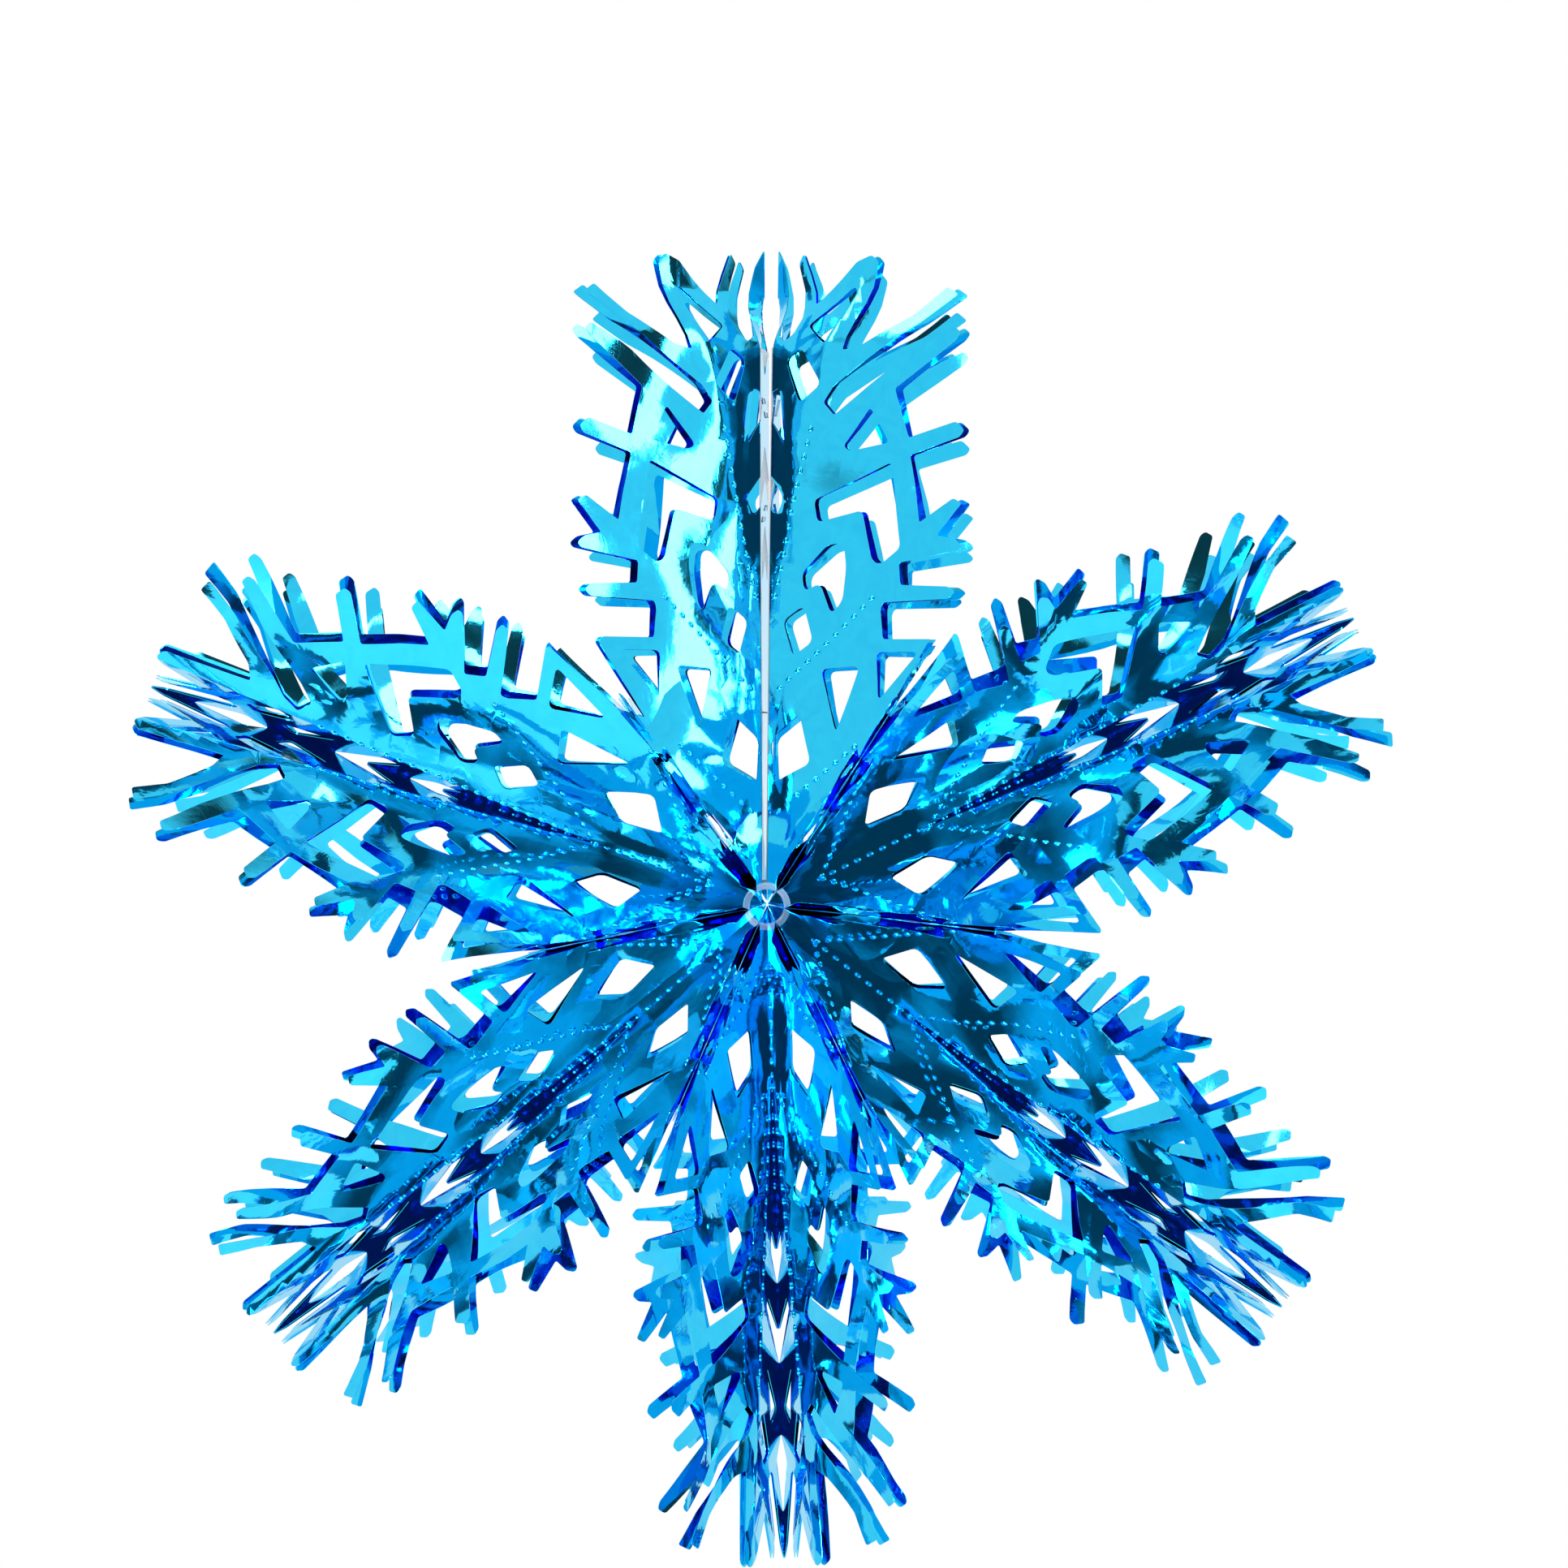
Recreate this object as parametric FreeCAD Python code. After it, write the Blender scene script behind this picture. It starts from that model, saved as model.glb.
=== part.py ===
import FreeCAD, Part
import math
import os

# A 406 mm foil snowflake star that opens like a fan from a flat stack of die-cut leaves.
# The hang hole of the first stiffener strip is at the origin and the star hangs below it.
# The star faces -Y. Millimetres and degrees throughout.

# ---- the opened star ----
hang_radius = 165.0            # star axis to the hang hole
strip_gap = 1.4                # between the mid-planes of the two stiffener strips
arm_names = ["top", "upper_left", "lower_left", "bottom", "lower_right", "upper_right"]
arm_offsets = [0.0, 70.5, 131.0, 181.5, 232.0, 296.0]    # counter-clockwise from the top arm
last_offset = 359.2            # the last leaf stands this far round from the first
top_angle = 90.0               # direction of the top arm from +X, seen from the front
fold_sine = 1.2                # sine of a wing's tilt over the tangent of half its gap
steepest_tilt = 58.0
top_offsets = {"left": 0.0, "right": last_offset}
top_tilts = {"left": 60.0, "right": 56.0}                # tilt of the split arm's wings

# ---- sheet stock ----
foil = 0.09                    # one leaf
layers = 2                     # leaves welded together in each wing
strip_thickness = 0.4
strip_half_width = 9.5
strip_start = 5.0              # along the arm, from the star axis
strip_end = 173.0
band_half_width = 10.0         # flat middle of the first and last leaf
spine_half_width = 2.2         # welded inner end of an arm's web
spine_start = 18.5
crease_start = 52.0            # the V-shaped weld lines leave the arm's middle line here
crease_angle = 15.26           # and open by this much
crease_gap = 0.6               # from a weld line to the web on one side and the wing on the other
wing_offset = 0.3              # wing hinge line to the arm's mid-plane
wing_notch = 0.42              # inner edge of a wing below the crease start, as a slope
top_wing_gap = 0.5             # band edge to wing edge
wing_bottom = 30.0             # inner end of a wing, along the arm
top_wing_bottom = 33.0
trim_slope = 1.02              # a wing stays inside the line v = slope * u - drop
trim_drop = 16.8
top_trim_slope = 0.67
top_trim_drop = -5.2

# ---- holes and fasteners ----
hang_hole_radii = {"left": 3.2, "right": 3.6}
ring_radius = 6.3
ring_wire = 1.1
ring_height = 17.3             # rings sit this far in front of and behind the middle
ring_hole = 3.2
fin_inner_radius = 2.1
fin_start = 10.8               # the fins clear the stiffener strips
fin_crease_angle = 37.5        # the fin lies above this line, from the arm direction
fin_turn = -10.7               # the lobe swings this far as the leaf folds into the valley
staple_wire = 0.4
staple_crown = 9.6
staple_foot = 2.8
staple_spots = [(155.0, 35.0), (122.0, -35.0), (60.0, 0.0), (7.5, 0.0)]  # along the strip, turn
staple_slack = 0.1
reach = 400.0                  # larger than any leaf
smallest_piece = 0.05          # offcuts below this volume are dropped

parts_folder = "parts"
axis_x = strip_gap / 2

# One half of a leaf, arm tip first. u runs along the arm and v across it.
upper_edge = [
    (204.0, 0.0), (198.6, 3.8), (176.1, 11.3), (174.5, 14.2), (176.9, 17.4), (181.5, 18.4),
    (198.9, 12.0), (202.0, 14.0), (185.6, 21.6), (198.2, 35.9), (200.0, 41.6), (197.8, 43.7),
    (170.8, 38.0), (172.2, 44.4), (180.8, 59.3), (189.3, 67.9), (186.8, 72.2), (178.6, 62.9),
    (160.1, 34.4), (155.1, 30.5), (151.2, 33.7), (169.4, 60.8), (176.9, 75.0), (175.1, 77.5),
    (172.9, 76.4), (158.7, 55.4), (143.8, 59.0), (148.4, 75.0), (145.8, 77.8), (143.8, 76.4),
    (138.4, 59.3), (127.4, 61.6), (117.8, 63.0), (125.1, 74.6), (123.5, 77.5), (113.9, 69.0),
    (112.7, 75.0), (110.7, 77.5), (109.3, 76.4), (105.7, 55.8), (99.0, 56.0), (98.4, 72.2),
    (96.7, 74.5), (94.7, 72.2), (93.7, 50.1), (91.6, 49.0), (82.5, 49.5), (82.5, 67.2),
    (80.9, 68.5), (58.0, 52.2), (61.9, 65.7), (59.9, 69.5), (57.1, 67.5), (44.4, 43.5)]
lower_edge = [
    (44.2, 60.4), (42.3, 63.1), (40.0, 60.8), (32.2, 43.7), (29.4, 42.0), (28.8, 56.1),
    (27.1, 58.5), (24.4, 56.5), (18.0, 40.0), (16.3, 40.5), (14.2, 55.1), (11.2, 58.8),
    (8.5, 54.4), (5.2, 41.6), (4.0, 40.5), (2.5, 43.3), (0.5, 45.1), (-1.6, 41.6),
    (-4.1, 30.9), (-6.1, 18.1), (-3.7, 10.2), (1.2, 1.0), (3.0, 0.0)]

# Windows cut through the leaf.
windows = {
    "arrow_eye": [(190.4, 0.0), (172.9, 7.4), (164.4, 0.0)],
    "spike_eye": [(190.7, 35.5), (179.0, 22.7), (172.9, 31.6), (189.0, 37.1)],
    "quad": [(172.2, 22.7), (168.7, 15.9), (155.1, 21.6), (160.8, 30.2)],
    "dart": [(160.8, 13.1), (156.7, 4.9), (142.2, 15.8)],
    "frame_corner": [(153.4, 46.5), (141.6, 36.4), (140.2, 38.7), (142.5, 52.2)],
    "frame_bay": [(136.6, 52.9), (125.3, 27.0), (118.4, 28.0), (121.9, 43.0), (106.4, 46.5),
                  (105.2, 49.4), (110.3, 56.4)],
    "crescent": [(111.7, 36.9), (111.7, 31.6), (102.8, 21.6), (97.2, 22.3), (99.8, 28.0),
                 (90.2, 31.6), (94.1, 35.9), (104.6, 37.6)],
    "long_chevron": [(143.8, 0.0), (126.3, 15.8), (120.6, 12.7), (133.1, 0.0)],
    "short_chevron": [(119.0, 0.0), (109.3, 7.4), (100.4, 6.0), (108.3, 0.0)],
    "small_quad": [(93.0, 22.0), (88.2, 14.5), (77.2, 18.1), (81.9, 25.2)],
    "wedge": [(74.3, 41.2), (73.3, 27.9), (53.7, 33.0)],
    "notched_eye": [(78.6, 61.5), (78.6, 47.1), (63.6, 47.2)],
    "trapezoid": [(59.6, 20.9), (51.6, 10.6), (37.9, 11.5), (44.3, 24.7)],
    "diamond": [(29.7, 28.6), (19.7, 19.4), (14.3, 29.3), (23.3, 38.1)]}

face_signs = {"front": 1, "back": -1}


def flat_face(points):
    """Planar face through (x, y) points in order."""
    corners = [FreeCAD.Vector(x, y, 0) for x, y in points]
    return Part.Face(Part.makePolygon(corners + corners[:1]))


def leaf_half():
    """Die-cut outline of half a leaf, in the u, v plane, with its windows."""
    blank = flat_face(upper_edge + lower_edge)
    return blank.cut([flat_face(outline) for outline in windows.values()])


def keep_inside(sheet, points):
    """The part of a flat sheet that lies inside a polygon, as one face per piece."""
    return sheet.common(flat_face(points))


def plate(sheet, low, high):
    """Solids between two heights over a flat sheet."""
    lowered = sheet.copy()
    lowered.translate(FreeCAD.Vector(0, 0, low))
    solids = [face.extrude(FreeCAD.Vector(0, 0, high - low)) for face in lowered.Faces]
    return [solid for solid in solids if solid.Volume > smallest_piece]


def arm_axes(angle):
    """Radial, counter-clockwise and forward unit vectors of an arm."""
    turn = math.radians(angle)
    along = FreeCAD.Vector(math.cos(turn), 0, math.sin(turn))
    across = FreeCAD.Vector(-math.sin(turn), 0, math.cos(turn))
    return along, across, FreeCAD.Vector(0, -1, 0)


def star_centre():
    return FreeCAD.Vector(axis_x, 0, -hang_radius)


def placed(shape, origin, x_axis, y_axis):
    """Shape moved so that its X and Y axes and origin lie as given."""
    z_axis = x_axis.cross(y_axis)
    matrix = FreeCAD.Matrix(
        x_axis.x, y_axis.x, z_axis.x, origin.x,
        x_axis.y, y_axis.y, z_axis.y, origin.y,
        x_axis.z, y_axis.z, z_axis.z, origin.z)
    moved = shape.copy()
    moved.transformShape(matrix, False)
    return moved


def save(node, solids):
    """Write one node, as a single solid or a group of them."""
    shape = solids[0] if len(solids) == 1 else Part.makeCompound(solids)
    shape.exportStep(os.path.join(parts_folder, node + ".step"))


def gap_tilt(gap):
    """Angle between a wing and its arm's mid-plane, for a gap between two arms."""
    tilt = math.degrees(math.asin(fold_sine * math.tan(math.radians(gap / 2))))
    return min(tilt, steepest_tilt)


def arm_wing_sheet(leaf):
    """Flat outline of a whole arm's wing, beyond the weld crease, with the crease start at 0, 0."""
    slope = math.tan(math.radians(crease_angle))
    low = crease_gap + wing_notch * (crease_start - wing_bottom)
    limit = [(wing_bottom, low), (crease_start, crease_gap),
             (reach, crease_gap + slope * (reach - crease_start)),
             (reach, trim_slope * reach - trim_drop)]
    if trim_slope * wing_bottom - trim_drop > low:
        limit.append((wing_bottom, trim_slope * wing_bottom - trim_drop))
    sheet = keep_inside(leaf, limit)
    sheet.translate(FreeCAD.Vector(-crease_start, 0, 0))
    sheet.rotate(FreeCAD.Vector(0, 0, 0), FreeCAD.Vector(0, 0, 1), -crease_angle)
    return sheet


def top_wing_sheet(leaf):
    """Flat outline of a split arm's wing, beyond the band's edge, which lies along y = 0."""
    start = band_half_width + top_wing_gap
    corner = max(top_wing_bottom, (start + top_trim_drop) / top_trim_slope)
    limit = [(corner, start), (reach, start), (reach, top_trim_slope * reach - top_trim_drop),
             (corner, top_trim_slope * corner - top_trim_drop)]
    sheet = keep_inside(leaf, limit)
    sheet.translate(FreeCAD.Vector(0, -band_half_width, 0))
    return sheet


def wing(sheet, angle, side, face, tilt, hinge, turn):
    """Two welded leaf layers, hinged on a line and tilted away from the arm's mid-plane.

    The hinge is a point (along, in front, across) of the arm and the line's turn from it.
    """
    along, across, forward = arm_axes(angle)
    lean = math.radians(tilt)
    slant = math.radians(turn)
    line = along * math.cos(slant) + forward * (face * math.sin(slant))
    flat = forward * (face * math.cos(slant)) - along * math.sin(slant)
    outward = flat * math.cos(lean) + across * (side * math.sin(lean))
    start, ahead, aside = hinge
    origin = star_centre() + along * start + forward * (face * ahead) + across * (side * aside)
    up = -side * face
    solids = []
    for layer in range(layers):
        near, far = sorted([up * layer * foil, up * (layer + 1) * foil])
        solids += plate(sheet, near, far)
    return [placed(solid, origin, line, outward) for solid in solids]


def arm_wings(leaf):
    """Wings of the five whole arms: two sides, front and back."""
    sheet = arm_wing_sheet(leaf)
    ends = arm_offsets + [last_offset]
    hinge = (crease_start, 0.0, wing_offset)
    for index in range(1, len(arm_names)):
        gaps = {1: ends[index + 1] - ends[index], -1: ends[index] - ends[index - 1]}
        for side, word in ((1, "ccw"), (-1, "cw")):
            for face_word, face in face_signs.items():
                solids = wing(sheet, top_angle + arm_offsets[index], side, face,
                              gap_tilt(gaps[side]), hinge, crease_angle)
                save(f"{arm_names[index]}_{word}_wing_{face_word}", solids)


def top_wings(leaf):
    """Wings of the split top arm, hinged on the edges of the stiffened bands."""
    sheet = top_wing_sheet(leaf)
    band_face = strip_gap / 2 + strip_thickness / 2 + layers * foil
    hinge = (0.0, band_half_width, band_face)
    for word, side in (("left", 1), ("right", -1)):
        angle = top_angle + top_offsets[word]
        for face_word, face in face_signs.items():
            solids = wing(sheet, angle, side, face, top_tilts[word], hinge, 0.0)
            save(f"top_{word}_wing_{face_word}", solids)


def mirrored_face(half):
    """Whole sheet from its half, about the arm's middle line."""
    other = half.mirror(FreeCAD.Vector(0, 0, 0), FreeCAD.Vector(0, 1, 0))
    return half.fuse(other).removeSplitter()


def staple_legs(grow):
    """The two legs of a staple, square in section, standing on the sheet."""
    half = staple_wire / 2 + grow
    spread = (staple_crown - staple_wire) / 2
    return [[(x - half, -half), (x + half, -half), (x + half, half), (x - half, half)]
            for x in (-spread, spread)]


def turned(points, spot):
    """Points across an arm moved to a spot along it and turned there."""
    along, degrees = spot
    turn = math.radians(degrees)
    return [(along - x * math.sin(turn) + y * math.cos(turn),
             x * math.cos(turn) + y * math.sin(turn)) for x, y in points]


def staple(spot, low, high):
    """A closed staple through everything between two heights."""
    half_wire = staple_wire / 2
    half_crown = staple_crown / 2
    crown = [(-half_crown, -half_wire), (half_crown, -half_wire),
             (half_crown, half_wire), (-half_crown, half_wire)]
    body = plate(flat_face(turned(crown, spot)), high, high + staple_wire)[0]
    for index, leg in enumerate(staple_legs(0.0)):
        body = body.fuse(plate(flat_face(turned(leg, spot)), low, high)[0])
        start = -half_crown if index == 0 else half_crown - staple_foot
        foot = [(start, -half_wire), (start + staple_foot, -half_wire),
                (start + staple_foot, half_wire), (start, half_wire)]
        body = body.fuse(plate(flat_face(turned(foot, spot)), low - staple_wire, low)[0])
    return body.removeSplitter()


def stiffened_band(leaf, word, side):
    """Flat middle of the first or last leaf with its clear strip and staples."""
    along, across, forward = arm_axes(top_angle + top_offsets[word])
    half_band = keep_inside(leaf, [(strip_start, 0.0), (reach, 0.0), (reach, band_half_width),
                                   (strip_start, band_half_width)])
    band = mirrored_face(half_band)
    strip = flat_face([(strip_start, -strip_half_width), (strip_end, -strip_half_width),
                       (strip_end, strip_half_width), (strip_start, strip_half_width)])
    hole_edge = Part.makeCircle(hang_hole_radii[word], FreeCAD.Vector(hang_radius, 0, 0))
    cuts = [Part.Face(Part.Wire(hole_edge))]
    for spot in staple_spots:
        cuts += [flat_face(turned(leg, spot)) for leg in staple_legs(staple_slack)]
    band = band.cut(cuts)
    strip = strip.cut(cuts)

    # Heights run away from the other half of the arm: strip first, then the two leaf layers.
    origin = star_centre() + across * (side * strip_gap / 2)
    face_axis = forward * -side
    low = -strip_thickness / 2
    face_height = strip_thickness / 2
    top = face_height + layers * foil
    strip_solids = plate(strip, low, face_height)
    band_solids = []
    for layer in range(layers):
        band_solids += plate(band, face_height + layer * foil, face_height + (layer + 1) * foil)
    staples = [staple(spot, low, top) for spot in staple_spots]
    groups = {"stiffener_strip": strip_solids, "leaf_band": band_solids, "staples": staples}
    for name, solids in groups.items():
        save(f"top_{word}_{name}", [placed(solid, origin, along, face_axis) for solid in solids])


def webs(leaf):
    """Middle of each whole arm, flat in its mid-plane between the weld creases."""
    slope = math.tan(math.radians(crease_angle))
    spine_turn = crease_start + (spine_half_width + crease_gap) / slope
    limit = [(spine_start, 0.0), (reach, 0.0),
             (reach, slope * (reach - crease_start) - crease_gap),
             (spine_turn, spine_half_width), (spine_start, spine_half_width)]
    web = mirrored_face(keep_inside(leaf, limit))
    solids = plate(web, -foil, foil)
    for name, offset in list(zip(arm_names, arm_offsets))[1:]:
        along, across, forward = arm_axes(top_angle + offset)
        save(f"{name}_web", [placed(solid, star_centre(), along, forward) for solid in solids])


def fin_sheet(leaf):
    """Inner lobe of a leaf as it lies in the valley, with the curl hole for the ring."""
    lobe = leaf.copy()
    lobe.rotate(FreeCAD.Vector(0, 0, 0), FreeCAD.Vector(0, 0, 1), fin_turn)
    crease = math.radians(fin_crease_angle)
    limit = [(fin_inner_radius, fin_start), (fin_start / math.tan(crease), fin_start),
             (reach * math.cos(crease), reach * math.sin(crease)),
             (reach * math.cos(crease), reach), (fin_inner_radius, reach)]
    hole = Part.Wire(Part.makeCircle(ring_hole, FreeCAD.Vector(ring_radius, ring_height, 0)))
    return keep_inside(lobe, limit).cut(Part.Face(hole))


def fins(leaf):
    """Welded inner lobes, in the middle of each gap between arms, front and back."""
    sheet = fin_sheet(leaf)
    ends = arm_offsets + [last_offset]
    for index, name in enumerate(arm_names):
        middle = (ends[index] + ends[index + 1]) / 2
        along, across, forward = arm_axes(top_angle + middle)
        for face_word, face in face_signs.items():
            solids = plate(sheet, -foil / 2, foil / 2)
            solids.sort(key=lambda solid: solid.Volume)
            save(f"{name}_valley_fin_{face_word}",
                 [placed(solids[-1], star_centre(), along, forward * face)])


def rings():
    """Clear plastic rings that thread every lobe, front and back."""
    for face_word, face in face_signs.items():
        centre = star_centre() + FreeCAD.Vector(0, -face * ring_height, 0)
        save(f"{face_word}_ring",
             [Part.makeTorus(ring_radius, ring_wire, centre, FreeCAD.Vector(0, 1, 0))])


os.makedirs(parts_folder, exist_ok=True)
leaf = leaf_half()
arm_wings(leaf)
top_wings(leaf)
stiffened_band(leaf, "left", 1)
stiffened_band(leaf, "right", -1)
webs(leaf)
fins(leaf)
rings()
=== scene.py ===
import bpy
import bmesh
import math
from mathutils import Matrix, Vector, noise


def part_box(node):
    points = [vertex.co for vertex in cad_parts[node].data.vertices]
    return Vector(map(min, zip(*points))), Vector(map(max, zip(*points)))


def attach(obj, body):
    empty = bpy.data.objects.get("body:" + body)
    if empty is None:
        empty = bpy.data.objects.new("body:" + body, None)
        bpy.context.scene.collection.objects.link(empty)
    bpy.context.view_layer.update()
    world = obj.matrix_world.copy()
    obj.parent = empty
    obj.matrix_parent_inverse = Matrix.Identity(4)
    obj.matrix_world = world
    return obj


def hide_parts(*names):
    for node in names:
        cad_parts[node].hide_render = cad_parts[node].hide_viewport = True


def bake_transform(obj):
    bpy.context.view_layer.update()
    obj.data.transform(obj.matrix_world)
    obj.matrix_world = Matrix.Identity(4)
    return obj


# A hanging snowflake star of mirror-blue foil leaves, fanned open about a clear ring.
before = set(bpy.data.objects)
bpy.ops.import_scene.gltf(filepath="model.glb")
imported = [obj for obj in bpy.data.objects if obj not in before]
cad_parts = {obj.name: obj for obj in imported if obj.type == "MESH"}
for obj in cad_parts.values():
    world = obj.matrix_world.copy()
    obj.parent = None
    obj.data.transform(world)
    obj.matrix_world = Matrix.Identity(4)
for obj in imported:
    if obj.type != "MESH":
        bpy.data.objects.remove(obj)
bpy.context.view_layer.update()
scene = bpy.context.scene
mm = 0.001


studio = {
    "cameraPlace": (6.0, -1500.0, -127.3),     # mm
    "viewWidth": 489.0,                        # mm seen across at the star
    "sensor": 36.0,
    "floorDrop": 640.0,                        # floor below the star axis
    "floorRadius": 1.5,                        # m
    "floorColour": (0.82, 0.83, 0.84, 1),
    "floorRoughness": 0.7,
    "backWhite": 1.0,
    "sideGrey": 0.95,
    "frontDark": 0.06,
    "flagScale": 1.7,
    "flagShare": 0.42,
    "flagDraw": 3.4,                           # which draw of the noise
    "flagEdge": (-0.03, 0.02),                 # soft edge either side of the share
    "hoodStops": [(0.02, 0.1), (0.10, 1.0)],   # the camera's own dark side
    "behindStops": [(0.46, 0.0), (0.54, 1.0)],
    "bounces": 20,
    "mirrorBounces": 16,
    "clearBounces": 16,
    "panels": [                                # place (m), size (m), watts
        ((-1.5, -0.9, 0.9), (0.28, 1.0), 15.0),
        ((1.7, -0.7, 0.2), (0.25, 1.3), 16.0),
        ((0.1, -0.8, 1.5), (1.2, 0.22), 15.0),
        ((-0.6, -1.1, -0.7), (0.8, 0.2), 10.0)]}


def starAxis():
    # the rings are centred on the star axis
    low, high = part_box("front_ring")
    return Vector(((low.x + high.x) / 2, 0.0, (low.z + high.z) / 2))


axis = starAxis()
centre = axis / mm


def makeCamera():
    camera = bpy.data.objects.new("camera", bpy.data.cameras.new("camera"))
    scene.collection.objects.link(camera)
    camera.location = Vector(studio["cameraPlace"]) * mm
    camera.rotation_euler = (math.radians(90), 0, 0)
    camera.data.sensor_width = studio["sensor"]
    camera.data.lens = studio["sensor"] * -studio["cameraPlace"][1] / studio["viewWidth"]
    camera.data.clip_start = 0.01
    scene.camera = camera


def greyRamp(nodes, stops):
    ramp = nodes.new("ShaderNodeValToRGB")
    for element, (place, grey) in zip(ramp.color_ramp.elements, stops):
        element.position = place
        element.color = (grey, grey, grey, 1)
    return ramp


def makeWorld():
    world = bpy.data.worlds.new("studioWalls")
    world.use_nodes = True
    scene.world = world
    nodes, links = world.node_tree.nodes, world.node_tree.links
    nodes.clear()
    out = nodes.new("ShaderNodeOutputWorld")
    direction = nodes.new("ShaderNodeTexCoord")
    parts = nodes.new("ShaderNodeSeparateXYZ")
    links.new(direction.outputs["Generated"], parts.inputs[0])
    flags = nodes.new("ShaderNodeTexNoise")            # dark flags and gaps between white screens
    flags.noise_dimensions = "4D"
    flags.inputs["W"].default_value = studio["flagDraw"]
    flags.inputs["Scale"].default_value = studio["flagScale"]
    flags.inputs["Detail"].default_value = 0.0
    links.new(direction.outputs["Generated"], flags.inputs["Vector"])
    before, after = studio["flagEdge"]
    screens = greyRamp(nodes, [(studio["flagShare"] + before, studio["frontDark"]),
                               (studio["flagShare"] + after, studio["sideGrey"])])
    links.new(flags.outputs["Fac"], screens.inputs["Fac"])
    spread = nodes.new("ShaderNodeMapRange")
    spread.inputs["From Min"].default_value = -1
    links.new(parts.outputs["Y"], spread.inputs["Value"])
    lensHood = greyRamp(nodes, studio["hoodStops"])
    links.new(spread.outputs["Result"], lensHood.inputs["Fac"])
    shaded = nodes.new("ShaderNodeMix")
    shaded.data_type = "RGBA"
    shaded.blend_type = "MULTIPLY"
    shaded.inputs["Factor"].default_value = 1.0
    links.new(screens.outputs["Color"], shaded.inputs["A"])
    links.new(lensHood.outputs["Color"], shaded.inputs["B"])
    behind = greyRamp(nodes, studio["behindStops"])
    links.new(spread.outputs["Result"], behind.inputs["Fac"])
    walls = nodes.new("ShaderNodeMix")
    walls.data_type = "RGBA"
    walls.inputs["B"].default_value = (*[studio["backWhite"]] * 3, 1)
    links.new(behind.outputs["Color"], walls.inputs["Factor"])
    links.new(shaded.outputs["Result"], walls.inputs["A"])
    seen = nodes.new("ShaderNodeLightPath")
    wallLight = nodes.new("ShaderNodeBackground")
    backdrop = nodes.new("ShaderNodeBackground")
    backdrop.inputs["Color"].default_value = (1, 1, 1, 1)
    chosen = nodes.new("ShaderNodeMixShader")
    links.new(walls.outputs["Result"], wallLight.inputs["Color"])
    links.new(seen.outputs["Is Camera Ray"], chosen.inputs["Fac"])
    links.new(wallLight.outputs[0], chosen.inputs[1])
    links.new(backdrop.outputs[0], chosen.inputs[2])
    links.new(chosen.outputs[0], out.inputs["Surface"])


def makeLights():
    for index, (place, size, watts) in enumerate(studio["panels"]):
        panel = bpy.data.lights.new(f"softbox{index}", "AREA")
        panel.shape = "RECTANGLE"
        panel.size, panel.size_y = size
        panel.energy = watts
        lamp = bpy.data.objects.new(f"softbox{index}", panel)
        scene.collection.objects.link(lamp)
        lamp.location = place
        lamp.rotation_euler = (axis - Vector(place)).to_track_quat("-Z", "Y").to_euler()
        lamp.visible_camera = False


def makeFloor():
    bm = bmesh.new()
    drop = axis.z - studio["floorDrop"] * mm
    bmesh.ops.create_circle(bm, cap_ends=True, segments=96, radius=studio["floorRadius"],
                            matrix=Matrix.Translation((0, 0, drop)))
    mesh = bpy.data.meshes.new("floor")
    bm.to_mesh(mesh)
    bm.free()
    floor = bpy.data.objects.new("floor", mesh)
    scene.collection.objects.link(floor)
    paint = bpy.data.materials.new("paleFloor")
    paint.use_nodes = True
    shader = paint.node_tree.nodes["Principled BSDF"]
    shader.inputs["Base Color"].default_value = studio["floorColour"]
    shader.inputs["Roughness"].default_value = studio["floorRoughness"]
    mesh.materials.append(paint)


scene.view_settings.view_transform = "Standard"
scene.cycles.max_bounces = studio["bounces"]
scene.cycles.glossy_bounces = studio["mirrorBounces"]
scene.cycles.transparent_max_bounces = studio["clearBounces"]
makeCamera()
makeWorld()
makeLights()
makeFloor()
print("studio ready")


def newGroup(name, inputs, outputs):
    group = bpy.data.node_groups.new(name, "ShaderNodeTree")
    for socket, value in inputs.items():
        made = group.interface.new_socket(name=socket, in_out="INPUT", socket_type="NodeSocketFloat")
        made.default_value = value
    for socket in outputs:
        group.interface.new_socket(name=socket, in_out="OUTPUT", socket_type="NodeSocketFloat")
    return group, group.nodes.new("NodeGroupInput"), group.nodes.new("NodeGroupOutput")


def makeFilmWaves():
    # long soft buckles with finer handling creases on top
    group, given, out = newGroup("filmWaves", {"Buckle Scale": 30.0, "Crease Scale": 140.0,
                                               "Crease Share": 0.2}, ["Height", "Mask"])
    nodes, links = group.nodes, group.links
    place = nodes.new("ShaderNodeTexCoord")
    buckle = nodes.new("ShaderNodeTexNoise")
    buckle.inputs["Detail"].default_value = 1.0
    buckle.inputs["Distortion"].default_value = 0.6
    crease = nodes.new("ShaderNodeTexNoise")
    crease.inputs["Detail"].default_value = 2.0
    crease.inputs["Distortion"].default_value = 1.2
    share = nodes.new("ShaderNodeMath")
    share.operation = "MULTIPLY"
    total = nodes.new("ShaderNodeMath")
    total.operation = "ADD"
    for texture, scale in ((buckle, "Buckle Scale"), (crease, "Crease Scale")):
        links.new(place.outputs["Object"], texture.inputs["Vector"])
        links.new(given.outputs[scale], texture.inputs["Scale"])
    links.new(crease.outputs["Fac"], share.inputs[0])
    links.new(given.outputs["Crease Share"], share.inputs[1])
    links.new(buckle.outputs["Fac"], total.inputs[0])
    links.new(share.outputs[0], total.inputs[1])
    links.new(total.outputs[0], out.inputs["Height"])
    links.new(crease.outputs["Fac"], out.inputs["Mask"])
    return group


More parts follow.
